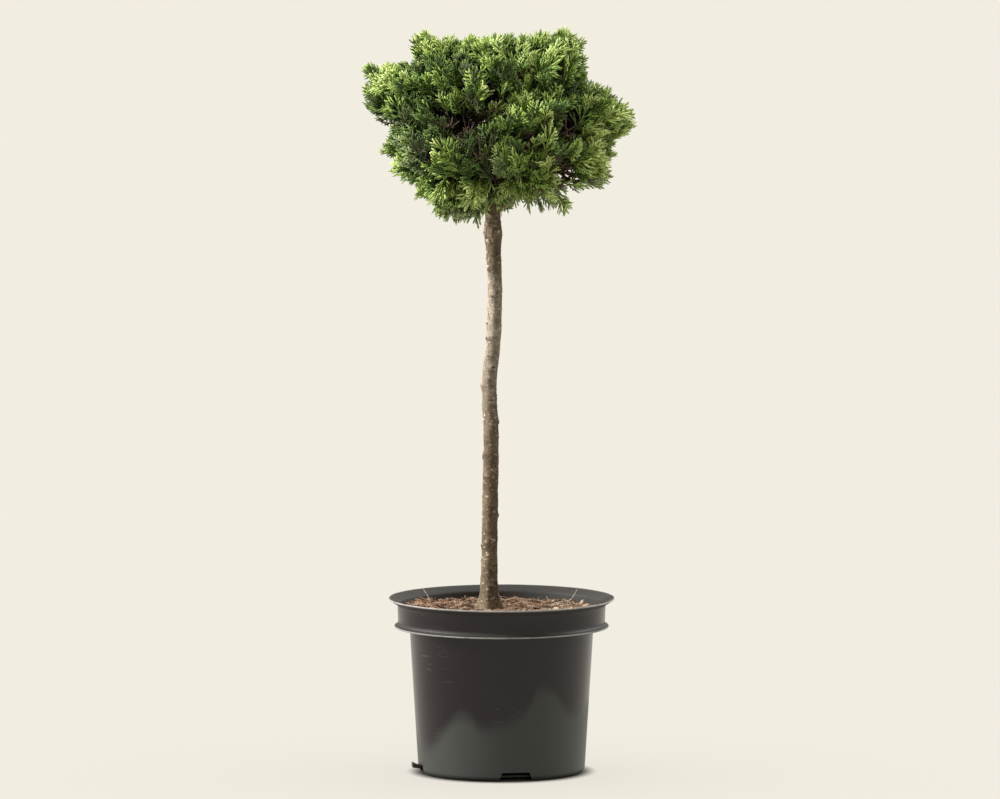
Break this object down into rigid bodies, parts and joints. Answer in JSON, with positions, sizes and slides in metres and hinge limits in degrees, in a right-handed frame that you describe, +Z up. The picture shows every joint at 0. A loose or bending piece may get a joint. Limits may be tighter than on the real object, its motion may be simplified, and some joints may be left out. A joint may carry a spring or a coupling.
{
  "type": "dwarf hinoki cypress in a nursery pot",
  "caption": "Small dwarf hinoki cypress grafted on a slim clear stem, with a dense rounded crown of fan-shaped sprays, growing in a round black plastic nursery pot.",
  "frame": {"origin": "middle of the flat underside of the pot", "axes": "+Z up along the trunk, -Y towards the front, +X to the right of the pictured side"},
  "size_m": [0.2286, 0.19, 0.6246],
  "materials": {
    "black_plastic": "satin moulded polypropylene with light scuffs",
    "potting_mix": "coarse bark chips and fibre, matte",
    "bark": "grey-brown young bark, matte",
    "bough_bark": "brown young bark, matte",
    "foliage_green": "scale-leaved sprays, satin"
  },
  "bodies": {
    "root": {"pot": "black_plastic", "soil": "potting_mix", "trunk": "bark", "bough_top_left": "bough_bark", "bough_top_middle": "bough_bark", "bough_top_right": "bough_bark", "bough_top_back": "bough_bark", "bough_left": "bough_bark", "bough_right": "bough_bark", "bough_front_left": "bough_bark", "bough_front_middle": "bough_bark", "bough_front_right": "bough_bark", "bough_back_left": "bough_bark", "bough_back_right": "bough_bark", "bough_lower_left": "bough_bark", "bough_lower_front_left": "bough_bark", "bough_lower_front_right": "bough_bark", "bough_lower_right": "bough_bark", "bough_lower_back": "bough_bark", "foliage_top_left": "foliage_green", "foliage_top_middle": "foliage_green", "foliage_top_right": "foliage_green", "foliage_top_back": "foliage_green", "foliage_left": "foliage_green", "foliage_right": "foliage_green", "foliage_front_left": "foliage_green", "foliage_front_middle": "foliage_green", "foliage_front_right": "foliage_green", "foliage_back_left": "foliage_green", "foliage_back_right": "foliage_green", "foliage_lower_left": "foliage_green", "foliage_lower_front_left": "foliage_green", "foliage_lower_front_right": "foliage_green", "foliage_lower_right": "foliage_green", "foliage_lower_back": "foliage_green"}
  },
  "joints": []
}
